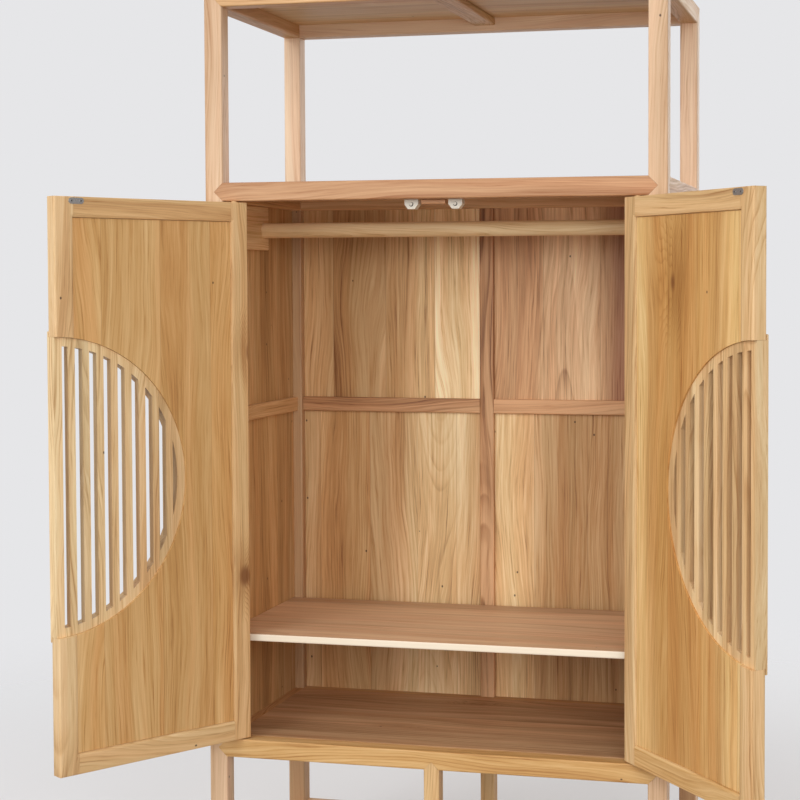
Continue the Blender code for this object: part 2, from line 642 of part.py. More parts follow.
def build_door(side, mirrored):
    prefix = side + "_door_"
    free_member = DOOR_WIDTH - DOOR_MEMBER
    tongue_front = (DOOR_PANEL_FRONT + DOOR_PANEL_BACK - DOOR_TONGUE_THICKNESS) / 2
    tongue_back = tongue_front + DOOR_TONGUE_THICKNESS
    opening_base = DOOR_BASE + DOOR_MEMBER
    opening_top = DOOR_TOP - DOOR_MEMBER
    tongue_low = (DOOR_MEMBER - GROOVE_DEPTH, tongue_front, opening_base - GROOVE_DEPTH)
    tongue_high = (free_member + GROOVE_DEPTH, tongue_back, opening_top + GROOVE_DEPTH)

    def opening(grow):
        """Corners of the space for the panel, grown all round."""
        u0, u1 = DOOR_MEMBER - grow, free_member + grow
        z0, z1 = opening_base - grow, opening_top + grow
        return [(u0, z0), (u1, z0), (u1, z1), (u0, z1)]

    def in_door_shape():
        """Steps that every frame member shares: the eased edge of the door and of its opening."""
        leaf = door_box((0.0, 0.0, DOOR_BASE), (DOOR_WIDTH, DOOR_THICKNESS, DOOR_TOP))
        leaf = ease(ease(leaf, Z), X)
        knee = DOOR_THICKNESS - OPENING_ARRIS_KNEE
        inner_round = door_hull((opening(OPENING_ARRIS + OVERLAP), DOOR_THICKNESS + OPENING_ARRIS_KNEE),
                                (opening(OPENING_ARRIS_KNEE), knee))
        inner_slope = door_hull((opening(OPENING_ARRIS_KNEE), knee), (opening(FIT), knee - OPENING_ARRIS))
        front_slope = door_hull((opening(2 * OPENING_FRONT_CHAMFER), -OPENING_FRONT_CHAMFER),
                                (opening(0.0), OPENING_FRONT_CHAMFER))
        return intersect(leaf) + difference(inner_round, inner_slope, front_slope)

    def groove():
        return door_box(tongue_low, tongue_high, FIT)

    def disc_hole():
        return door_prism(half_moon(MOON_RADIUS + FIT) + [(DOOR_WIDTH + MOON_RADIUS, MOON_HEIGHT)],
                          -OVERLAP, DOOR_THICKNESS + OVERLAP)

    rail_bases = {"bottom_rail": DOOR_BASE, "top_rail": opening_top}
    rail_tenons = {}
    for name, base in rail_bases.items():
        rail_tenons[name] = (
            (DOOR_MEMBER - DOOR_TENON_LENGTH, tongue_front, base + DOOR_TENON_EDGE),
            (free_member + DOOR_TENON_LENGTH, tongue_back, base + DOOR_MEMBER - DOOR_TENON_EDGE))

    def rail_mortises(names):
        return [door_box(*rail_tenons[name], FIT) for name in names]

    tenon_far = DOOR_WIDTH - RIM_TENON_FROM_EDGE
    tenon_near = tenon_far - RIM_TENON_WIDTH
    rim_reach = MOON_RADIUS - RIM_TENON_LENGTH
    rim_root = MOON_RADIUS + OVERLAP
    upper_tenon = ((tenon_near, tongue_front, MOON_HEIGHT + rim_reach),
                   (tenon_far, tongue_back, MOON_HEIGHT + rim_root))
    lower_tenon = ((tenon_near, tongue_front, MOON_HEIGHT - rim_root),
                   (tenon_far, tongue_back, MOON_HEIGHT - rim_reach))

    pieces = []
    stile = door_box((0.0, 0.0, DOOR_BASE), (DOOR_MEMBER, DOOR_THICKNESS, DOOR_TOP))
    pivots = (cylinder((0.0, 0.0), PIVOT_RADIUS, Z, DOOR_TOP - OVERLAP, DOOR_TOP + PIVOT_LENGTH),
              cylinder((0.0, 0.0), PIVOT_RADIUS, Z, DOOR_BASE - PIVOT_LENGTH, DOOR_BASE + OVERLAP))
    cuts = difference(groove(), *rail_mortises(("bottom_rail", "top_rail")))
    steps = in_door_shape() + cuts + union(*pivots)
    pieces.append(make(prefix + "hinge_stile", stile, steps, GOLDEN, DOOR_ROUGHNESS, mirrored))

    for name, low, high, tenon, rail in (
            ("meeting_stile_upper", MOON_HEIGHT, DOOR_TOP, upper_tenon, "top_rail"),
            ("meeting_stile_lower", DOOR_BASE, MOON_HEIGHT, lower_tenon, "bottom_rail")):
        stile = door_box((free_member, 0.0, low), (DOOR_WIDTH, DOOR_THICKNESS, high))
        cuts = difference(disc_hole(), groove(), *rail_mortises((rail,)))
        steps = in_door_shape() + cuts + union(door_box(*tenon))
        pieces.append(make(prefix + name, stile, steps, GOLDEN, DOOR_ROUGHNESS, mirrored))

    for name, base in rail_bases.items():
        rail = door_box((DOOR_MEMBER + FIT, 0.0, base),
                        (free_member - FIT, DOOR_THICKNESS, base + DOOR_MEMBER))
        steps = in_door_shape() + difference(groove()) + union(door_box(*rail_tenons[name]))
        pieces.append(make(prefix + name, rail, steps, GOLDEN, DOOR_ROUGHNESS, mirrored))

    panel = door_box((DOOR_MEMBER + FIT, DOOR_PANEL_FRONT, opening_base + FIT),
                     (free_member - FIT, DOOR_PANEL_BACK, opening_top - FIT))
    steps = union(door_box(tongue_low, tongue_high)) + difference(disc_hole())
    pieces.append(make(prefix + "panel", panel, steps, GOLDEN, DOOR_ROUGHNESS, mirrored))
    pieces.append(moon_grille(prefix, (upper_tenon, lower_tenon), mirrored))
    return pieces


def empty(name, parent=None):
    item = bpy.data.objects.new(name, None)
    bpy.context.scene.collection.objects.link(item)
    item.parent = parent
    return item


def hang_door(side, root):
    """Doors stand open at rest, each turned about its own pivot."""
    sign = -1 if side == "left" else 1
    opened = LEFT_DOOR_OPEN if side == "left" else RIGHT_DOOR_OPEN
    pivot = empty(side + "_door_pivot", root)
    pivot.location = (sign * PIVOT_X, PIVOT_Y, 0.0)
    pivot.rotation_euler = (0.0, 0.0, sign * radians(opened))
    for piece in build_door(side, mirrored=sign > 0):
        piece.parent = pivot


def stand_on_origin(root):
    """Puts the middle of the whole wardrobe, doors as they stand, over the origin."""
    bpy.context.view_layer.update()
    points = []
    for item in bpy.context.scene.objects:
        if item.type == "MESH":
            points += [item.matrix_world @ vertex.co for vertex in item.data.vertices]
    low_x, high_x = min(p.x for p in points), max(p.x for p in points)
    low_y, high_y = min(p.y for p in points), max(p.y for p in points)
    root.location = (-(low_x + high_x) / 2, -(low_y + high_y) / 2, 0.0)


def main():
    for item in list(bpy.data.objects):
        bpy.data.objects.remove(item)
    root = empty("wardrobe")
    for piece in build_carcase():
        piece.parent = root
    hang_door("left", root)
    hang_door("right", root)
    stand_on_origin(root)


main()
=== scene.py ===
"""Looks of the Chinese wardrobe: elm with its rings, boards, sapwood, knots and worm holes, steel
strike plates, white catches, pale surroundings and the photograph's camera. Metres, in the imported
part's frame.
"""
import json
from math import cos, pi, radians, sin

import bmesh
import bpy
from mathutils import Matrix, Vector

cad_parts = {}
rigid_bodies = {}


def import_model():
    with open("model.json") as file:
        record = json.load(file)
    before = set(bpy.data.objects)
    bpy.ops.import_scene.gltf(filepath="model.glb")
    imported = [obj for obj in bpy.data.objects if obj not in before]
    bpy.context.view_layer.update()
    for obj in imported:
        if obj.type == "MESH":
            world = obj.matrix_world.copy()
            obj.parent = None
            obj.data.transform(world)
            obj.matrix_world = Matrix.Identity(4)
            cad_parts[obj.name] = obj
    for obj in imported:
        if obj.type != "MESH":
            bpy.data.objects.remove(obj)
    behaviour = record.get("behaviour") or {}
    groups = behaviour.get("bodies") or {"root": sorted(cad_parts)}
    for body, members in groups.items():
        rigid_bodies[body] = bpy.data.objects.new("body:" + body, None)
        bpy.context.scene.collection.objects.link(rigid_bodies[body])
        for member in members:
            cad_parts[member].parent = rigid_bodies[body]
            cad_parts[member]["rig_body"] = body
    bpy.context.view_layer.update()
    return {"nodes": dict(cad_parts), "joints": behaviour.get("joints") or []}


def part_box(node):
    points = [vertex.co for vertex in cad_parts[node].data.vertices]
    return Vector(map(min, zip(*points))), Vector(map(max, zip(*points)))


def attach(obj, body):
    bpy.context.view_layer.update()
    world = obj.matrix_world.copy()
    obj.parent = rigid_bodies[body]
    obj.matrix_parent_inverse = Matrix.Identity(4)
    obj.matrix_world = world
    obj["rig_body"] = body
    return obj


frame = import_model()
NODES = frame["nodes"]
JOINTS = {joint["child"]: joint for joint in frame["joints"]}

# Middle of the carcase, from two opposite corner posts.
CENTRE = (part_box("post_front_left")[0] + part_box("post_back_right")[1]) / 2

# Camera, fitted to the straight edges in the photograph; its place is from the carcase's middle.
PHOTO_SIDE = 800
CAMERA_RIGHT = 0.9854
CAMERA_FORWARD = -3.7030
CAMERA_HEIGHT = 1.3656
CAMERA_YAW = 0.2353
CAMERA_PITCH = -0.0371
CAMERA_ROLL = -0.0023
FOCAL_PIXELS = 1713.7
AXIS_PIXEL_X = 504.0
AXIS_PIXEL_Y = 348.0
SENSOR = 36.0

# Strike plate on each door's inner face and its two screws with crossed slots.
PLATE_LENGTH = 0.034
PLATE_WIDTH = 0.0125
PLATE_THICKNESS = 0.0009
PLATE_CHAMFER = 0.0003
PLATE_FROM_FREE_EDGE = 0.0315
PLATE_BELOW_TOP = 0.0022
PLATE_ROUND_STEPS = 12
SCREW_SPACING = 0.021
SCREW_RADIUS = 0.0036
SCREW_HEIGHT = 0.0006
SCREW_CHAMFER = 0.0002
SCREW_SLOT_LENGTH = 0.0044
SCREW_SLOT_WIDTH = 0.0010
SCREW_SLOT_HEIGHT = 0.0002
SCREW_SLOT_CHAMFER = 0.00005
SCREW_SLOT_SINK = 0.00015
SCREW_SLOT_TURNS = (30, 120)

# Dark ring of painted shade round the tip, and the round tip, in the front of each catch.
RING_RADIUS = 0.0046
RING_PROUD = 0.0003
TIP_RADIUS = 0.0036
TIP_PROUD = 0.0009
TIP_STEP = 0.0007
CIRCLE_STEPS = 20

# Pale strip along the shelf's front edge: its depth and strength.
EDGE_STRIP = 0.0012
EDGE_STRENGTH = 0.9

# Painted shade on the sides of a grille's slits and on its rim: how strong it is, and the span of outward
# facing over which it fades. The strip along the free edge gets none of it, like the face.
SLIT_SHADE_STRENGTH = 0.28
SLIT_SHADE_FACING = (0.15, 0.6)
FREE_EDGE_STRIP = 0.002

# Span of facing into the cabinet over which the faces of a back post below the middle frame get painted
# shade.
POST_SHADE_FACING = (0.2, 0.8)


def tone(red, green, blue):
    """Linear colour of a tone given as 0 to 255 on screen."""
    linear = []
    for value in (red, green, blue):
        share = value / 255
        linear.append(share / 12.92 if share <= 0.04045 else ((share + 0.055) / 1.055) ** 2.4)
    return (*linear, 1.0)


# Woods: palest early wood, body tone and darkest late wood of each kind of piece.
POST_WOOD = (tone(228, 196, 162), tone(208, 172, 136), tone(174, 128, 88))
BACK_POST_WOOD = (tone(244, 219, 188), tone(231, 200, 168), tone(200, 159, 122))
PINK_WOOD = (tone(222, 178, 138), tone(198, 152, 112), tone(160, 108, 70))
RAIL_WOOD = (tone(228, 190, 142), tone(205, 161, 112), tone(166, 118, 72))
DOOR_WOOD = (tone(231, 193, 137), tone(204, 158, 98), tone(158, 106, 54))
STILE_WOOD = (tone(236, 204, 156), tone(214, 176, 124), tone(168, 122, 74))
GRILLE_WOOD = (tone(240, 212, 166), tone(220, 185, 135), tone(176, 132, 84))
BOARD_WOOD = (tone(238, 208, 162), tone(206, 164, 112), tone(138, 92, 54))
ROSE_WOOD = (tone(218, 174, 130), tone(184, 137, 95), tone(124, 82, 52))
MIXED_WOOD = (tone(234, 196, 150), tone(196, 151, 108), tone(128, 86, 56))
STRAW_WOOD = (tone(228, 200, 156), tone(208, 174, 126), tone(176, 136, 90))
FLOOR_WOOD = (tone(224, 186, 144), tone(194, 152, 112), tone(158, 116, 78))
SHELF_WOOD = (tone(228, 196, 162), tone(210, 174, 139), tone(180, 141, 105))
# Painted shade for the sides of the grille's slits and its rim.
SLIT_SHADE = tone(128, 86, 48)
SHELF_EDGE = tone(248, 236, 214)
KNOT = tone(112, 62, 32)
WORM_HOLE = tone(58, 34, 20)

# Tints: pink streaks, sapwood, pale slats, three kinds of heartwood (the brown one also serves as painted
# shade on the side panels), and painted shade on the back posts inside the cabinet.
PINK_CAST = (1.04, 0.975, 0.95, 1.0)
SAPWOOD = (1.25, 1.42, 1.58, 1.0)
PALE_SLATS = (1.14, 1.24, 1.34, 1.0)
HONEY_HEART = (0.97, 0.91, 0.80, 1.0)
BROWN_HEART_AND_SHADE = (0.82, 0.77, 0.70, 1.0)
PURPLE_HEART = (0.70, 0.60, 0.64, 1.0)
POST_SHADE = (0.62, 0.52, 0.40, 1.0)

# Zones of tint across a piece, each from and to a share of its width, counted along +X or +Y with
# the doors closed. A zone that goes over an edge starts at BELOW or ends at ABOVE.
BELOW = -0.1
ABOVE = 1.1
ZONES = {
    "back_panel_left_upper": ((0.14, 0.52, BROWN_HEART_AND_SHADE), (0.64, ABOVE, SAPWOOD)),
    "back_panel_left_lower": ((0.12, 0.50, BROWN_HEART_AND_SHADE), (0.58, 0.95, SAPWOOD)),
    "back_panel_right_upper": ((0.28, 0.56, SAPWOOD), (0.63, ABOVE, PURPLE_HEART)),
    "back_panel_right_lower": ((BELOW, 0.18, SAPWOOD), (0.30, 0.72, BROWN_HEART_AND_SHADE)),
    "left_door_moon_grille": ((0.62, ABOVE, PALE_SLATS),),
    "right_door_panel": ((BELOW, 0.16, SAPWOOD), (0.26, 0.80, HONEY_HEART), (0.86, ABOVE, SAPWOOD)),
}
# The side panels are tinted brown all over: painted shade.
for side in ("left", "right"):
    for storey in ("upper", "lower"):
        ZONES["side_panel_" + side + "_" + storey] = ((BELOW, ABOVE, BROWN_HEART_AND_SHADE),)
ZONE_SOFTNESS = 0.07
ZONE_WANDER_SCALE = (9.0, 9.0, 1.4)
ZONE_WANDER = 0.20

# Each seed moves a piece to another place in the tree: speed of its swing, then across, through and
# along the grain.
SEED_STEP = 0.618
SEED_SWING = 12.9
SEED_ACROSS = 0.16
SEED_THROUGH = 0.731
SEED_ALONG = 3.17

# Figure of the wood: scales of its noises, per metre across, through and along the grain.
WANDER_SCALE = (2.6, 2.6, 0.80)
RIPPLE_SCALE = (15.0, 15.0, 2.6)
HEART_SCALE = (0.7, 0.7, 0.8)
LATE_PATCH_SCALE = (18.0, 18.0, 2.2)
STREAK_SCALE = (42.0, 42.0, 1.5)
FIBRE_SCALE = (260.0, 260.0, 6.0)
SLOW_SCALE = (5.0, 5.0, 1.2)
PINK_SCALE = (24.0, 24.0, 0.9)
KNOT_SCALE = (4.6, 1.5, 2.9)
HOLE_SCALE = (24.0, 24.0, 18.0)

# Rings: how far they wander, how deep the heart lies, how close and uneven they are, how fast they
# shift with depth in a board, which draws lines on its edges, and how many go round a knot.
WANDER = 0.20
RIPPLE = 0.026
HEART_DEPTH = 0.16
RINGS_PER_METRE = 150.0
RING_UNEVENNESS = 3.0
RING_UNEVEN_SCALE = (60.0, 1.0, 1.0)
RING_LEAN = 0.7
RINGS_ROUND_KNOT = 7.0
RING_LIFT_AT_KNOT = 0.05

# Broad bands that follow the rings, with their scale along the radius, the grain and the seed.
BAND_SCALE = (22.0, 1.0, 3.1)
BAND_STRETCH = 0.25

# How much each part of the figure darkens the wood, from a darkness that all of it has.
BAND_WEIGHT = 2.9
STREAK_WEIGHT = 1.5
LATE_WEIGHT = 0.95
FIBRE_WEIGHT = 0.85
SLOW_WEIGHT = 0.45
PORE_WEIGHT = 0.24
SWIRL_WEIGHT = 0.34
BASE_DARKNESS = 0.42

# Late wood grows by this power over a ring, up to a share of it, and shows in part of its noise.
LATE_POWER = 3.0
LATE_END = (0.86, 1.0)
LATE_PATCH = (0.34, 0.66)

# Spans of noise that show as pores, as pink cast and as rough wax, and of darkness for each blend.
PORES = (0.58, 0.74)
PINK = (0.40, 0.64)
MIDDLE = (0.3, 0.7)
PALE_TO_BODY = (0.10, 0.50)
BODY_TO_DARK = (0.50, 0.95)

# Small knots and worm holes: core and edge, and reach of the swirl round a knot, in shares of a cell.
KNOT_CORE = 0.03
KNOT_EDGE = 0.09
KNOT_SWIRL = 0.32
KNOT_STRENGTH = 0.75
HOLE_CORE = 0.035
HOLE_EDGE = 0.065
HOLE_STRENGTH = 0.85

# Large knot in the right door's panel, in metres, and the place of one that lies clear of a board.
BIG_KNOT_FROM_PIVOT = 0.158
BIG_KNOT_BELOW_TOP = 0.138
BIG_KNOT_CORE = 0.002
BIG_KNOT_EDGE = 0.011
BIG_KNOT_SWIRL = 0.075
BIG_KNOT_STRENGTH = 0.9
BIG_KNOT_SQUEEZE = 0.45
NO_KNOT = (9.0, 9.0, 9.0)

# Glued-up panels: how uneven the boards are, where the first starts, how much their seeds and tones
# differ, and how dark and wide their seams are.
BOARD_RANDOMNESS = 0.75
BOARD_START = 7.7
BOARD_SEEDS = 9.0
SEAM_CORE = 0.003
SEAM_EDGE = 0.010
SEAM_STRENGTH = 0.30
BOARD_DARKER = 0.36
BOARD_PALER = 0.24

# Waxed surface, and how far fibres stand up and late wood, knots and holes lie lower in it.
BUMP_STRENGTH = 0.35
BUMP_DISTANCE = 0.0006
WAX_SPECULAR = 0.35
WAX_SMOOTH = 0.42
WAX_ROUGH = 0.58
FIBRE_RELIEF = 0.6
LATE_RELIEF = 0.35
SPOT_RELIEF = 0.8

# Mottling of the plain materials.
MOTTLE_SCALE = (260.0, 260.0, 260.0)
MOTTLE_DARKER = 0.86
MOTTLE_ROUGHNESS = 0.2

# Floor that fades into the pale surroundings, and the light of those surroundings.
FLOOR_RADIUS = 4.0
FLOOR_SOLID_RADIUS = 1.0
FLOOR_FADE_RADIUS = 3.4
FLOOR_STEPS = 96
FLOOR_ROUGHNESS = 0.9
FLOOR_SPECULAR = 0.1
FLOOR_SEEN = tone(236, 235, 236)
FLOOR_BOUNCE = tone(160, 152, 146)
BACKGROUND_SEEN = tone(230, 230, 232)
SKY_LIGHT = 0.66
GROUND_LIGHT = 0.10
HORIZON_LOW = -0.25
HORIZON_HIGH = 0.15

# Square lamps: place from the point they are turned to, side and watts.
LAMP_TARGET_HEIGHT = 1.1
LAMPS = {
    "key": ((-2.3, -3.9, 1.9), 3.4, 94.0),
    "front": ((1.7, -4.4, 0.9), 2.6, 85.0),
    "rear": ((1.6, 4.4, 1.6), 3.0, 45.0),
}


class Graph:
    """Short way of writing a node tree: each call adds a node and returns its output."""

    def __init__(self, tree):
        self.tree = tree

    def add(self, kind, **settings):
        node = self.tree.nodes.new(kind)
        for name, value in settings.items():
            setattr(node, name, value)
        return node

    def feed(self, socket, value):
        if isinstance(value, bpy.types.NodeSocket):
            self.tree.links.new(value, socket)
        else:
            socket.default_value = value

    def math(self, operation, *values, clamp=False):
        node = self.add("ShaderNodeMath", operation=operation, use_clamp=clamp)
        for socket, value in zip(node.inputs, values):
            self.feed(socket, value)
        return node.outputs[0]

    def vector(self, operation, *values):
        node = self.add("ShaderNodeVectorMath", operation=operation)
        for socket, value in zip(node.inputs, values):
            self.feed(socket, value)
        return node.outputs["Value" if operation in ("LENGTH", "DOT_PRODUCT") else "Vector"]

    def combine(self, x, y, z):
        node = self.add("ShaderNodeCombineXYZ")
        for socket, value in zip(node.inputs, (x, y, z)):
            self.feed(socket, value)
        return node.outputs[0]

    def separate(self, vector):
        node = self.add("ShaderNodeSeparateXYZ")
        self.feed(node.inputs[0], vector)
        return node.outputs

    def noise(self, vector, scale, detail=2.0, roughness=0.5):
        """Value noise from 0 to 1 round 0.5, with its own scale on each axis."""
        node = self.add("ShaderNodeTexNoise", noise_dimensions="3D")
        self.feed(node.inputs["Vector"], self.vector("MULTIPLY", vector, scale))
        self.feed(node.inputs["Scale"], 1.0)
        self.feed(node.inputs["Detail"], detail)
        self.feed(node.inputs["Roughness"], roughness)
        return node.outputs["Fac"]

    def ramp(self, value, low, high, start=0.0, end=1.0):
        """Smooth step from start to end as value goes from low to high."""
        node = self.add("ShaderNodeMapRange", interpolation_type="SMOOTHSTEP")
        for socket, number in zip(node.inputs, (value, low, high, start, end)):
            self.feed(socket, number)
        return node.outputs[0]

    def line(self, value, low, high):
        """Straight line from 0 to 1 as value goes from low to high, held at its ends."""
        node = self.add("ShaderNodeMapRange")
        for socket, number in zip(node.inputs, (value, low, high)):
            self.feed(socket, number)
        return node.outputs[0]

    def swing(self, noise, size):
        """Noise moved to swing round 0, with its size."""
        return self.math("MULTIPLY", self.math("SUBTRACT", noise, 0.5), size)

    def mix(self, share, first, second, blend="MIX"):
        node = self.add("ShaderNodeMix", data_type="RGBA", blend_type=blend)
        self.feed(node.inputs["Factor"], share)
        self.feed(node.inputs["A"], first)
        self.feed(node.inputs["B"], second)
        return node.outputs["Result"]

    def tinted(self, share, colour, tint):
        """Colour multiplied by a tint, as far as the share says."""
        return self.mix(share, colour, self.mix(1.0, colour, tint, "MULTIPLY"))


def group_tree(name, inputs, outputs):
    """Empty shader group with named sockets, each (name, kind)."""
    tree = bpy.data.node_groups.new(name, "ShaderNodeTree")
    for in_out, sockets in (("INPUT", inputs), ("OUTPUT", outputs)):
        for socket_name, kind in sockets:
            tree.interface.new_socket(socket_name, in_out=in_out, socket_type="NodeSocket" + kind)
    return tree


def spots(graph, place, scale, share, core, edge):
    """Scattered round spots in a share of the cells: 1 inside a spot; also the distance and the choice."""
    node = graph.add("ShaderNodeTexVoronoi", voronoi_dimensions="3D", feature="F1")
    graph.feed(node.inputs["Vector"], graph.vector("MULTIPLY", place, scale))
    graph.feed(node.inputs["Scale"], 1.0)
    chosen = graph.math("LESS_THAN", graph.separate(node.outputs["Color"])[0], share)
    near = graph.ramp(node.outputs["Distance"], core, edge, 1.0, 0.0)
    return graph.math("MULTIPLY", near, chosen), node.outputs["Distance"], chosen


def grain_group():
    """Sawn wood. Place has x across the board, y through it and z along the grain, in metres."""
    tree = group_tree(
        "grain",
        (("Place", "Vector"), ("Lean", "Float"), ("Seed", "Float"),
         ("Pale", "Color"), ("Body", "Color"), ("Dark", "Color"),
         ("Bands", "Float"), ("Knots", "Float"), ("Holes", "Float"), ("Big Knot", "Vector")),
        (("Color", "Color"), ("Height", "Float"), ("Roughness", "Float")))
    graph = Graph(tree)
    given = graph.add("NodeGroupInput").outputs
    seed = given["Seed"]

    # Each seed moves the board to another place in the tree.
    swing = graph.math("SINE", graph.math("MULTIPLY", seed, SEED_SWING))
    shift = graph.combine(graph.math("MULTIPLY", swing, SEED_ACROSS),
                          graph.math("MULTIPLY", seed, SEED_THROUGH),
                          graph.math("MULTIPLY", seed, SEED_ALONG))
    place = graph.vector("ADD", given["Place"], shift)
    across, through, along = graph.separate(place)

    knot, knot_distance, knot_chosen = spots(graph, place, KNOT_SCALE, given["Knots"], KNOT_CORE, KNOT_EDGE)
    swirl = graph.math("MULTIPLY", graph.ramp(knot_distance, 0.0, KNOT_SWIRL, 1.0, 0.0), knot_chosen)
    beside = graph.separate(graph.vector("SUBTRACT", given["Place"], given["Big Knot"]))
    squeezed = graph.math("MULTIPLY", beside[2], BIG_KNOT_SQUEEZE)
    big_distance = graph.vector("LENGTH", graph.combine(beside[0], squeezed, 0.0))
    big_knot = graph.ramp(big_distance, BIG_KNOT_CORE, BIG_KNOT_EDGE, BIG_KNOT_STRENGTH, 0.0)
    knot = graph.math("MAXIMUM", knot, big_knot)
    swirl = graph.math("MAXIMUM", swirl, graph.ramp(big_distance, 0.0, BIG_KNOT_SWIRL, 1.0, 0.0))

    # Yearly rings round a heart that lies at a slowly changing depth, so that long arches appear.
    wander = graph.swing(graph.noise(place, WANDER_SCALE, 2.0), WANDER)
    ripple = graph.swing(graph.noise(place, RIPPLE_SCALE, 3.0), RIPPLE)
    flow = graph.math("ADD", graph.math("ADD", across, given["Lean"]), graph.math("ADD", wander, ripple))
    depth = graph.math("MULTIPLY", graph.noise(place, HEART_SCALE, 1.0), HEART_DEPTH)
    lift = graph.math("MULTIPLY", swirl, RING_LIFT_AT_KNOT)
    radius = graph.vector("LENGTH", graph.combine(flow, depth, lift))
    uneven = graph.noise(graph.combine(radius, seed, 0.0), RING_UNEVEN_SCALE, 2.0)
    rings = graph.math("MULTIPLY", radius, RINGS_PER_METRE)
    rings = graph.math("ADD", rings, graph.math("MULTIPLY", uneven, RING_UNEVENNESS))
    rings = graph.math("ADD", rings, graph.math("MULTIPLY", swirl, RINGS_ROUND_KNOT))

    # Late wood darkens towards the end of each ring and fades out in patches.
    phase = graph.math("FRACT", rings)
    rise = graph.math("POWER", phase, LATE_POWER)
    late = graph.math("MULTIPLY", rise, graph.ramp(phase, *LATE_END, 1.0, 0.0))
    patches = graph.ramp(graph.noise(place, LATE_PATCH_SCALE, 2.0), *LATE_PATCH)
    late = graph.math("MULTIPLY", late, patches)

    # Broad pale and brown bands follow the rings; streaks, pores and fibres run along the grain.
    drawn = graph.combine(flow, through, along)
    ring_place = graph.combine(radius, graph.math("MULTIPLY", along, BAND_STRETCH), seed)
    bands = graph.noise(ring_place, BAND_SCALE, 5.0, 0.60)
    streaks = graph.noise(drawn, STREAK_SCALE, 6.0, 0.62)
    fibres = graph.noise(drawn, FIBRE_SCALE, 4.0, 0.66)
    pores = graph.ramp(fibres, *PORES)
    slow = graph.noise(place, SLOW_SCALE, 2.0)

    figure = graph.math("ADD", graph.swing(bands, BAND_WEIGHT), graph.swing(streaks, STREAK_WEIGHT))
    figure = graph.math("ADD", figure, graph.math("MULTIPLY", late, LATE_WEIGHT))
    darkness = graph.math("MULTIPLY", figure, given["Bands"])
    for part in (graph.swing(fibres, FIBRE_WEIGHT), graph.swing(slow, SLOW_WEIGHT)):
        darkness = graph.math("ADD", darkness, part)
    for part, weight in ((pores, PORE_WEIGHT), (swirl, SWIRL_WEIGHT)):
        darkness = graph.math("ADD", darkness, graph.math("MULTIPLY", part, weight))
    darkness = graph.math("ADD", darkness, BASE_DARKNESS, clamp=True)

    colour = graph.mix(graph.line(darkness, *PALE_TO_BODY), given["Pale"], given["Body"])
    colour = graph.mix(graph.line(darkness, *BODY_TO_DARK), colour, given["Dark"])
    pinkness = graph.ramp(graph.noise(drawn, PINK_SCALE, 3.0), *PINK)
    colour = graph.tinted(pinkness, colour, PINK_CAST)
    colour = graph.mix(graph.math("MULTIPLY", knot, KNOT_STRENGTH), colour, KNOT)
    holes = spots(graph, place, HOLE_SCALE, given["Holes"], HOLE_CORE, HOLE_EDGE)[0]
    colour = graph.mix(graph.math("MULTIPLY", holes, HOLE_STRENGTH), colour, WORM_HOLE)

    # Fibres stand up; late wood, knots and holes lie lower.
    height = graph.math("MULTIPLY", fibres, FIBRE_RELIEF)
    height = graph.math("SUBTRACT", height, graph.math("MULTIPLY", late, LATE_RELIEF))
    spot = graph.math("MAXIMUM", knot, holes)
    height = graph.math("SUBTRACT", height, graph.math("MULTIPLY", spot, SPOT_RELIEF))
    result = graph.add("NodeGroupOutput").inputs
    graph.feed(result["Color"], colour)
    graph.feed(result["Height"], height)
    graph.feed(result["Roughness"], graph.ramp(fibres, *MIDDLE, WAX_SMOOTH, WAX_ROUGH))
    return tree


def boards_group():
    """Glued-up panel: gives each board of it a seed, a tone and dark seams of its own."""
    tree = group_tree(
        "boards",
        (("Place", "Vector"), ("Seed", "Float"), ("Width", "Float")),
        (("Seed", "Float"), ("Tone", "Float"), ("Seam", "Float")))
    graph = Graph(tree)
    given = graph.add("NodeGroupInput").outputs
    across = graph.separate(given["Place"])[0]
    start = graph.math("MULTIPLY", given["Seed"], BOARD_START)
    rank = graph.math("ADD", graph.math("DIVIDE", across, given["Width"]), start)
    cell = graph.add("ShaderNodeTexVoronoi", voronoi_dimensions="1D", feature="F1")
    edge = graph.add("ShaderNodeTexVoronoi", voronoi_dimensions="1D", feature="DISTANCE_TO_EDGE")
    for node in (cell, edge):
        graph.feed(node.inputs["W"], rank)
        graph.feed(node.inputs["Scale"], 1.0)
        graph.feed(node.inputs["Randomness"], BOARD_RANDOMNESS)
    chance = graph.separate(cell.outputs["Color"])
    result = graph.add("NodeGroupOutput").inputs
    spread = graph.math("MULTIPLY", chance[0], BOARD_SEEDS)
    graph.feed(result["Seed"], graph.math("ADD", given["Seed"], spread))
    graph.feed(result["Tone"], chance[1])
    graph.feed(result["Seam"], graph.ramp(edge.outputs["Distance"], SEAM_CORE, SEAM_EDGE, 1.0, 0.0))
    return tree


GRAIN = grain_group()
BOARDS = boards_group()


def closing_turn(body):
    """Turn about +Z that closes a door from rest, and the point on its pivot."""
    joint = JOINTS[body]
    return radians(joint["axis"][2] * joint["range_deg"][0]), Vector(joint["pos_m"])


def closed_box(node, body):
    """Box of a door's node as it lies when the door is closed, and the move that opens it again."""
    turn, pivot = closing_turn(body)
    close = Matrix.Translation(pivot) @ Matrix.Rotation(turn, 4, "Z") @ Matrix.Translation(-pivot)
    points = [close @ vertex.co for vertex in NODES[node].data.vertices]
    low = Vector(min(point[axis] for point in points) for axis in range(3))
    high = Vector(max(point[axis] for point in points) for axis in range(3))
    return low, high, close.inverted()


def piece_box(name, body):
    """Box of a CAD node, as it lies with the doors closed."""
    if body in JOINTS:
        return closed_box(name, body)[:2]
    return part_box(name)


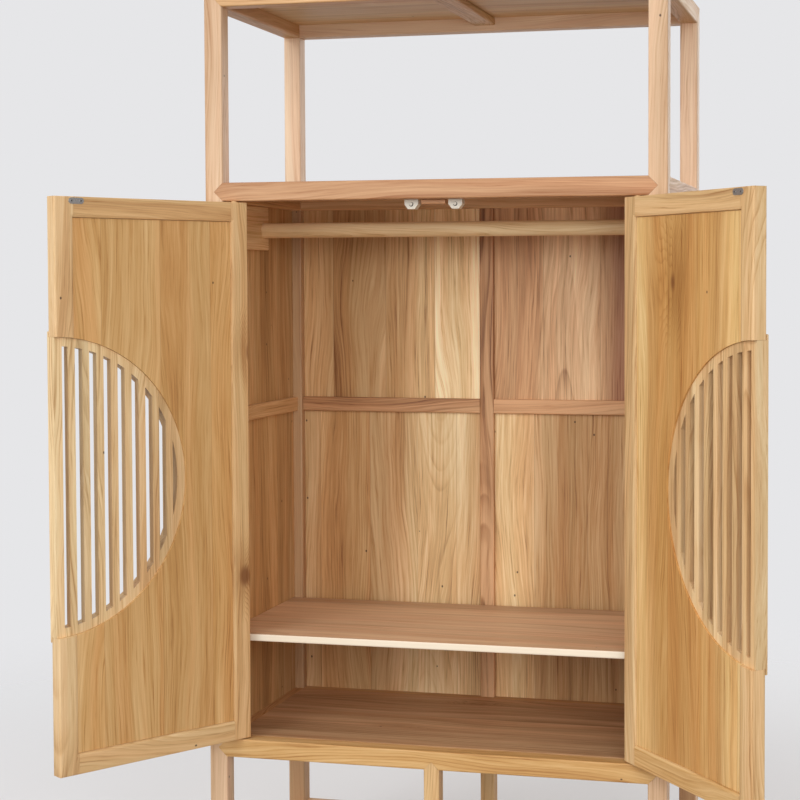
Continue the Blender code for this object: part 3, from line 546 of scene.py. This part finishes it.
def as_closed(graph, vector, body, centre):
    """A place or direction on a door turned to where it is when the door is closed."""
    rotate = graph.add("ShaderNodeVectorRotate", rotation_type="Z_AXIS")
    graph.feed(rotate.inputs["Vector"], vector)
    graph.feed(rotate.inputs["Center"], centre)
    graph.feed(rotate.inputs["Angle"], closing_turn(body)[0])
    return rotate.outputs[0]


def through_axis(along, across):
    """Axis that goes through a piece, from the two that lie in its face."""
    return next(axis for axis in "XYZ" if axis not in (along, across))


def board_place(graph, body, along, across):
    """Texture place of a piece: across its face, through it and along its grain, doors as if closed."""
    place = graph.add("ShaderNodeTexCoord").outputs["Object"]
    if body in JOINTS:
        place = as_closed(graph, place, body, closing_turn(body)[1])
    axes = dict(zip("XYZ", graph.separate(place)))
    return graph.combine(axes[across], axes[through_axis(along, across)], axes[along])


def ring_lean(graph, name, body, along, across, place):
    """Shift of the rings with depth in a piece, from its middle."""
    low, high = piece_box(name, body)
    axis = "XYZ".index(through_axis(along, across))
    depth = graph.math("SUBTRACT", graph.separate(place)[1], (low[axis] + high[axis]) / 2)
    return graph.math("MULTIPLY", depth, RING_LEAN)


def glued(graph, grain, woods, seed, board_width, shade, place):
    """Gives the grain a seed from board to board, and returns its colour with their tones and seams."""
    boards = graph.add("ShaderNodeGroup", node_tree=BOARDS)
    graph.feed(boards.inputs["Place"], place)
    graph.feed(boards.inputs["Seed"], seed)
    graph.feed(boards.inputs["Width"], board_width)
    graph.feed(grain.inputs["Seed"], boards.outputs["Seed"])
    darkest = 1.0 - shade * BOARD_DARKER
    palest = 1.0 + shade * BOARD_PALER
    level = graph.ramp(boards.outputs["Tone"], 0.0, 1.0, darkest, palest)
    colour = graph.mix(1.0, grain.outputs["Color"], graph.combine(level, level, level), "MULTIPLY")
    return graph.mix(graph.math("MULTIPLY", boards.outputs["Seam"], SEAM_STRENGTH), colour, woods[2])


def zoned(graph, name, body, across_axis, place, colour):
    """Colour of a piece with its zones of sapwood, heartwood and painted shade, whose borders wander along
    the grain.
    """
    low, high = piece_box(name, body)
    axis = "XYZ".index(across_axis)
    across = graph.math("SUBTRACT", graph.separate(place)[0], low[axis])
    across = graph.math("DIVIDE", across, high[axis] - low[axis])
    across = graph.math("ADD", across, graph.swing(graph.noise(place, ZONE_WANDER_SCALE, 3.0), ZONE_WANDER))
    for start, end, tint in ZONES[name]:
        enter = graph.ramp(across, start - ZONE_SOFTNESS, start + ZONE_SOFTNESS)
        leave = graph.ramp(across, end - ZONE_SOFTNESS, end + ZONE_SOFTNESS, 1.0, 0.0)
        colour = graph.tinted(graph.math("MULTIPLY", enter, leave), colour, tint)
    return colour


def painted_post_shade(graph, name, place, colour):
    """Colour of a back post with painted shade: browner on the faces below the middle frame that look into
    the closed part of the cabinet.
    """
    below = graph.math("LESS_THAN", graph.separate(place)[2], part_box("mid_rail_back")[0].z)
    inward = (1.0 if name.endswith("left") else -1.0, -1.0, 0.0)
    facing = graph.vector("DOT_PRODUCT", graph.add("ShaderNodeTexCoord").outputs["Normal"], inward)
    return graph.tinted(graph.math("MULTIPLY", below, graph.ramp(facing, *POST_SHADE_FACING)), colour, POST_SHADE)


def edged(graph, name, colour, front_edge):
    """Colour of the shelf with the pale strip along its front edge."""
    depth = graph.separate(graph.add("ShaderNodeTexCoord").outputs["Object"])[1]
    strip = graph.math("LESS_THAN", depth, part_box(name)[0].y + EDGE_STRIP)
    return graph.mix(graph.math("MULTIPLY", strip, EDGE_STRENGTH), colour, front_edge)


def slit_shade(graph, name, body, place):
    """How much painted shade a grille's face gets where it is a side of a slit or the rim."""
    low, high = closed_box(name, body)[:2]
    free_edge = high.x if body == "left_door" else low.x
    facing = graph.add("ShaderNodeTexCoord").outputs["Normal"]
    outward = graph.math("ABSOLUTE", graph.separate(as_closed(graph, facing, body, (0.0, 0.0, 0.0)))[1])
    inset = graph.math("ABSOLUTE", graph.math("SUBTRACT", graph.separate(place)[0], free_edge))
    clear = graph.math("GREATER_THAN", inset, FREE_EDGE_STRIP)
    return graph.math("MULTIPLY", graph.ramp(outward, *SLIT_SHADE_FACING, SLIT_SHADE_STRENGTH, 0.0), clear)


def wood(name, body, woods, seed, along, across, bands=0.52, knots=0.16, holes=0.14, big_knot=NO_KNOT,
         board_width=None, shade=0.5, front_edge=None):
    """Material of one wooden piece, of boards glued side by side where it has a board width."""
    material = bpy.data.materials.new(name)
    material.use_nodes = True
    graph = Graph(material.node_tree)
    surface = material.node_tree.nodes["Principled BSDF"]
    place = board_place(graph, body, along, across)
    grain = graph.add("ShaderNodeGroup", node_tree=GRAIN)
    graph.feed(grain.inputs["Place"], place)
    graph.feed(grain.inputs["Lean"], ring_lean(graph, name, body, along, across, place))
    for socket, shade_of_wood in zip(("Pale", "Body", "Dark"), woods):
        graph.feed(grain.inputs[socket], shade_of_wood)
    graph.feed(grain.inputs["Bands"], bands)
    graph.feed(grain.inputs["Knots"], knots)
    graph.feed(grain.inputs["Holes"], holes)
    graph.feed(grain.inputs["Big Knot"], big_knot)
    if board_width is None:
        graph.feed(grain.inputs["Seed"], seed)
        colour = grain.outputs["Color"]
    else:
        colour = glued(graph, grain, woods, seed, board_width, shade, place)
    if name in ZONES:
        colour = zoned(graph, name, body, across, place, colour)
    # Back posts get painted shade on their inward faces below the middle frame.
    if name.startswith("post_back"):
        colour = painted_post_shade(graph, name, place, colour)
    if front_edge is not None:
        colour = edged(graph, name, colour, front_edge)
    # Grilles get painted shade on the sides of their slits and on their rim.
    if name.endswith("grille"):
        colour = graph.mix(slit_shade(graph, name, body, place), colour, SLIT_SHADE)
    bump = graph.add("ShaderNodeBump")
    graph.feed(bump.inputs["Height"], grain.outputs["Height"])
    graph.feed(bump.inputs["Strength"], BUMP_STRENGTH)
    graph.feed(bump.inputs["Distance"], BUMP_DISTANCE)
    graph.feed(surface.inputs["Base Color"], colour)
    graph.feed(surface.inputs["Roughness"], grain.outputs["Roughness"])
    graph.feed(surface.inputs["Normal"], bump.outputs[0])
    graph.feed(surface.inputs["Specular IOR Level"], WAX_SPECULAR)
    return material


# Grain directions: along the grain and across the face of a piece.
UPRIGHT = {"along": "Z", "across": "X"}
UPRIGHT_SIDEWAYS = {"along": "Z", "across": "Y"}
LEVEL = {"along": "X", "across": "Z"}
LEVEL_SIDEWAYS = {"along": "Y", "across": "Z"}
FLAT = {"along": "X", "across": "Y"}


def door_wood_of(name):
    """Kind of wood, grain directions and boards of a wooden node of a door, by its name."""
    part = name.split("_door_")[1]
    if name == "right_door_bottom_rail":
        return {"woods": DOOR_WOOD, **LEVEL, "bands": 0.6}
    if part.endswith("rail"):
        return {"woods": STILE_WOOD, **LEVEL, "bands": 0.4}
    if part == "panel":
        look = {"woods": DOOR_WOOD, **UPRIGHT, "board_width": 0.130, "shade": 0.20, "bands": 0.30,
                "knots": 0.03}
        if name.startswith("right"):
            pivot = closing_turn("right_door")[1]
            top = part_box(name)[1].z
            look["big_knot"] = (pivot.x - BIG_KNOT_FROM_PIVOT, 0.0, top - BIG_KNOT_BELOW_TOP)
        return look
    if part == "moon_grille":
        return {"woods": GRILLE_WOOD, **UPRIGHT, "board_width": 0.032, "shade": 0.35, "knots": 0.06}
    if name == "left_door_hinge_stile":
        return {"woods": STILE_WOOD, **UPRIGHT, "knots": 0.6}
    pale = name == "right_door_hinge_stile" or name.startswith("left")
    return {"woods": GRILLE_WOOD if pale else STILE_WOOD, **UPRIGHT, "knots": 0.25}


def wood_of(name):
    """Kind of wood, grain directions and boards of a wooden CAD node, by its name."""
    if "_door_" in name:
        return door_wood_of(name)
    if name.startswith("post"):
        return {"woods": BACK_POST_WOOD if "back" in name else POST_WOOD, **UPRIGHT}
    if name == "back_muntin":
        return {"woods": ROSE_WOOD, **UPRIGHT, "bands": 0.8}
    if name.startswith("strut"):
        return {"woods": STILE_WOOD, **UPRIGHT}
    if name.startswith(("side_panel", "back_panel")):
        kind = MIXED_WOOD if name == "back_panel_right_upper" else BOARD_WOOD
        directions = UPRIGHT_SIDEWAYS if name.startswith("side") else UPRIGHT
        return {"woods": kind, **directions, "board_width": 0.125, "shade": 0.25, "bands": 0.36,
                "knots": 0.12, "holes": 0.6}
    if name == "top_panel":
        return {"woods": STRAW_WOOD, **FLAT, "board_width": 0.120, "shade": 0.4}
    if name in ("mid_panel", "floor_panel"):
        return {"woods": FLOOR_WOOD, **FLAT, "board_width": 0.120, "shade": 0.4}
    if name == "shelf":
        return {"woods": SHELF_WOOD, **FLAT, "board_width": 0.110, "shade": 0.3, "knots": 0.05,
                "front_edge": SHELF_EDGE}
    if name == "top_batten" or name.startswith("rod_cleat"):
        return {"woods": BOARD_WOOD, **LEVEL_SIDEWAYS}
    if name.startswith("back_rail"):
        return {"woods": ROSE_WOOD, **LEVEL, "bands": 0.8}
    if name == "hanging_rod":
        return {"woods": GRILLE_WOOD, **LEVEL}
    if name == "bottom_rail_front":
        return {"woods": DOOR_WOOD, **LEVEL}
    if name == "top_rail_back":
        return {"woods": BACK_POST_WOOD, **LEVEL}
    if name in ("mid_rail_front", "door_stop_block"):
        return {"woods": PINK_WOOD, **LEVEL}
    if name.endswith(("left", "right")):
        return {"woods": RAIL_WOOD, **LEVEL_SIDEWAYS}
    return {"woods": RAIL_WOOD, **LEVEL}


def plain(name, colour, roughness, metallic=0.0):
    """Smooth material with a faint mottled colour and roughness."""
    material = bpy.data.materials.new(name)
    material.use_nodes = True
    graph = Graph(material.node_tree)
    surface = material.node_tree.nodes["Principled BSDF"]
    cloud = graph.noise(graph.add("ShaderNodeTexCoord").outputs["Object"], MOTTLE_SCALE, 3.0)
    darker = tuple(channel * MOTTLE_DARKER for channel in colour[:3])
    smooth = roughness * (1.0 - MOTTLE_ROUGHNESS)
    rough = roughness * (1.0 + MOTTLE_ROUGHNESS)
    graph.feed(surface.inputs["Base Color"], graph.mix(cloud, colour, (*darker, 1.0)))
    graph.feed(surface.inputs["Roughness"], graph.ramp(cloud, *MIDDLE, smooth, rough))
    graph.feed(surface.inputs["Metallic"], metallic)
    return material


STEEL = plain("strike_steel", tone(156, 154, 152), 0.32, 1.0)
# Dark material of the screws' slots and the catches' rings: painted shade.
SLOT_SHADE = plain("painted_slot_shade", tone(48, 45, 43), 0.6, 0.3)
CATCH_PLASTIC = plain("catch_plastic", tone(229, 223, 208), 0.35)


def dress_nodes():
    for number, name in enumerate(sorted(NODES)):
        node = NODES[name]
        node.data.materials.clear()
        if name.startswith("catch"):
            node.data.materials.append(CATCH_PLASTIC)
        else:
            seed = 1.0 + number * SEED_STEP
            node.data.materials.append(wood(name, node["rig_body"], seed=seed, **wood_of(name)))


# Small pieces that the CAD leaves to this script.

def mesh_piece(name, shell, material, place):
    mesh = bpy.data.meshes.new(name)
    bmesh.ops.recalc_face_normals(shell, faces=shell.faces)
    shell.to_mesh(mesh)
    shell.free()
    mesh.materials.append(material)
    piece = bpy.data.objects.new(name, mesh)
    bpy.context.scene.collection.objects.link(piece)
    piece.matrix_world = place
    return piece


def solid_outline(outline, thickness, chamfer):
    """Plate in x and z with its front edge broken, standing out towards +y."""
    shell = bmesh.new()
    middle_x = sum(x for x, z in outline) / len(outline)
    middle_z = sum(z for x, z in outline) / len(outline)
    half = max(abs(x - middle_x) for x, z in outline)
    shrink = 1.0 - chamfer / half
    rings = []
    for depth, scale in ((0.0, 1.0), (thickness - chamfer, 1.0), (thickness, shrink)):
        ring = []
        for x, z in outline:
            point = (middle_x + (x - middle_x) * scale, depth, middle_z + (z - middle_z) * scale)
            ring.append(shell.verts.new(point))
        rings.append(ring)
    shell.faces.new(rings[0])
    shell.faces.new(rings[-1])
    for lower, upper in zip(rings, rings[1:]):
        for i in range(len(outline)):
            j = (i + 1) % len(outline)
            shell.faces.new((lower[i], lower[j], upper[j], upper[i]))
    return shell


def stadium(length, width):
    """Outline with half-round ends, in x and z round the origin."""
    outline = []
    for side in (1, -1):
        for step in range(PLATE_ROUND_STEPS + 1):
            turn = side * (pi / 2) - pi * step / PLATE_ROUND_STEPS
            outline.append((side * (length - width) / 2 + width / 2 * cos(turn), width / 2 * sin(turn)))
    return outline


def circle(radius):
    turns = [2 * pi * step / CIRCLE_STEPS for step in range(CIRCLE_STEPS)]
    return [(radius * cos(turn), radius * sin(turn)) for turn in turns]


def rectangle(width, height):
    x = width / 2
    z = height / 2
    return [(-x, -z), (x, -z), (x, z), (-x, z)]


def strike_plate(body):
    """Steel plate on the inner face of a door, across the joint of stile and rail, with two screws."""
    low, high, opened = closed_box(body + "_meeting_stile_upper", body)
    inward = 1 if body == "right_door" else -1
    free_edge = low.x if inward > 0 else high.x
    x = free_edge + inward * (PLATE_FROM_FREE_EDGE + PLATE_LENGTH / 2)
    z = high.z - PLATE_BELOW_TOP - PLATE_WIDTH / 2
    place = opened @ Matrix.Translation((x, high.y, z))
    plate = solid_outline(stadium(PLATE_LENGTH, PLATE_WIDTH), PLATE_THICKNESS, PLATE_CHAMFER)
    pieces = [mesh_piece(body + "_strike_plate", plate, STEEL, place)]
    for label, side in (("outer", -1), ("inner", 1)):
        screw = body + "_screw_" + label
        seat = place @ Matrix.Translation((side * inward * SCREW_SPACING / 2, PLATE_THICKNESS, 0.0))
        head = solid_outline(circle(SCREW_RADIUS), SCREW_HEIGHT, SCREW_CHAMFER)
        pieces.append(mesh_piece(screw, head, STEEL, seat))
        top = seat @ Matrix.Translation((0.0, SCREW_HEIGHT - SCREW_SLOT_SINK, 0.0))
        # The crossed slots are dark bars set in the head: painted shade.
        for number, turn in enumerate(SCREW_SLOT_TURNS):
            outline = rectangle(SCREW_SLOT_LENGTH, SCREW_SLOT_WIDTH)
            slot = solid_outline(outline, SCREW_SLOT_HEIGHT, SCREW_SLOT_CHAMFER)
            lie = top @ Matrix.Rotation(radians(turn), 4, "Y")
            pieces.append(mesh_piece(screw + "_slot_" + str(number), slot, SLOT_SHADE, lie))
    for piece in pieces:
        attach(piece, body)


def catch_face(side):
    """Front of a catch: a dark ring of painted shade with the round white tip standing in it."""
    low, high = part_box("catch_" + side)
    middle = Matrix.Translation(((low.x + high.x) / 2, low.y, (low.z + high.z) / 2))
    forward = middle @ Matrix.Rotation(pi, 4, "Z")
    for part, radius, proud, step, material in (("slot", RING_RADIUS, RING_PROUD, 0.0, SLOT_SHADE),
                                                ("tip", TIP_RADIUS, TIP_PROUD, TIP_STEP, CATCH_PLASTIC)):
        shell = solid_outline(circle(radius), proud, proud / 3)
        place = forward @ Matrix.Translation((step, 0, step))
        piece = mesh_piece("catch_" + side + "_" + part, shell, material, place)
        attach(piece, "carcase")


# Surroundings, light and camera.

def seen_ray(graph):
    """1 for rays that show the background: straight to the camera, in gloss or through glass."""
    ray = graph.add("ShaderNodeLightPath").outputs
    mirrored = graph.math("MAXIMUM", ray["Is Glossy Ray"], ray["Is Transmission Ray"])
    return graph.math("MAXIMUM", ray["Is Camera Ray"], mirrored)


def floor():
    """Pale round floor that keeps the shadow and fades into the surroundings."""
    shell = bmesh.new()
    bmesh.ops.create_circle(shell, cap_ends=True, segments=FLOOR_STEPS, radius=FLOOR_RADIUS)
    material = bpy.data.materials.new("floor")
    material.use_nodes = True
    graph = Graph(material.node_tree)
    surface = material.node_tree.nodes["Principled BSDF"]
    graph.feed(surface.inputs["Base Color"], graph.mix(seen_ray(graph), FLOOR_BOUNCE, FLOOR_SEEN))
    graph.feed(surface.inputs["Roughness"], FLOOR_ROUGHNESS)
    graph.feed(surface.inputs["Specular IOR Level"], FLOOR_SPECULAR)
    distance = graph.vector("LENGTH", graph.add("ShaderNodeTexCoord").outputs["Object"])
    fade = graph.add("ShaderNodeMixShader")
    graph.feed(fade.inputs[0], graph.ramp(distance, FLOOR_SOLID_RADIUS, FLOOR_FADE_RADIUS))
    graph.feed(fade.inputs[1], surface.outputs[0])
    graph.feed(fade.inputs[2], graph.add("ShaderNodeBsdfTransparent").outputs[0])
    graph.feed(material.node_tree.nodes["Material Output"].inputs["Surface"], fade.outputs[0])
    mesh_piece("floor", shell, material, Matrix.Translation((CENTRE.x, CENTRE.y, 0.0)))


def surroundings():
    """Soft light from all round, weaker from below, seen by the camera and in gloss as a pale grey."""
    world = bpy.data.worlds.new("studio")
    world.use_nodes = True
    graph = Graph(world.node_tree)
    light = world.node_tree.nodes["Background"]
    graph.feed(light.inputs["Color"], (1.0, 1.0, 1.0, 1.0))
    height = graph.separate(graph.add("ShaderNodeTexCoord").outputs["Generated"])[2]
    strength = graph.ramp(height, HORIZON_LOW, HORIZON_HIGH, GROUND_LIGHT, SKY_LIGHT)
    graph.feed(light.inputs["Strength"], strength)
    seen = graph.add("ShaderNodeBackground")
    graph.feed(seen.inputs["Color"], BACKGROUND_SEEN)
    choice = graph.add("ShaderNodeMixShader")
    graph.feed(choice.inputs[0], seen_ray(graph))
    graph.feed(choice.inputs[1], light.outputs[0])
    graph.feed(choice.inputs[2], seen.outputs[0])
    graph.feed(world.node_tree.nodes["World Output"].inputs["Surface"], choice.outputs[0])
    bpy.context.scene.world = world


def lights():
    target = Vector((CENTRE.x, CENTRE.y, LAMP_TARGET_HEIGHT))
    for name, (offset, size, watts) in LAMPS.items():
        data = bpy.data.lights.new(name, "AREA")
        data.shape = "SQUARE"
        data.size = size
        data.energy = watts
        item = bpy.data.objects.new(name, data)
        item.location = target + Vector(offset)
        item.rotation_euler = (-Vector(offset)).to_track_quat("-Z", "Y").to_euler()
        bpy.context.scene.collection.objects.link(item)


def camera():
    data = bpy.data.cameras.new("photo_camera")
    data.sensor_width = SENSOR
    data.lens = FOCAL_PIXELS / PHOTO_SIDE * SENSOR
    data.shift_x = (PHOTO_SIDE / 2 - AXIS_PIXEL_X) / PHOTO_SIDE
    data.shift_y = (AXIS_PIXEL_Y - PHOTO_SIDE / 2) / PHOTO_SIDE
    item = bpy.data.objects.new("photo_camera", data)
    turn = Matrix.Rotation(CAMERA_YAW, 4, "Z") @ Matrix.Rotation(pi / 2 + CAMERA_PITCH, 4, "X")
    place = Matrix.Translation((CENTRE.x + CAMERA_RIGHT, CENTRE.y + CAMERA_FORWARD, CAMERA_HEIGHT))
    item.matrix_world = place @ turn @ Matrix.Rotation(CAMERA_ROLL, 4, "Z")
    scene = bpy.context.scene
    scene.collection.objects.link(item)
    scene.camera = item
    scene.view_settings.view_transform = "Standard"


camera()
lights()
surroundings()
floor()
dress_nodes()
for door in ("left_door", "right_door"):
    strike_plate(door)
for catch_side in ("left", "right"):
    catch_face(catch_side)
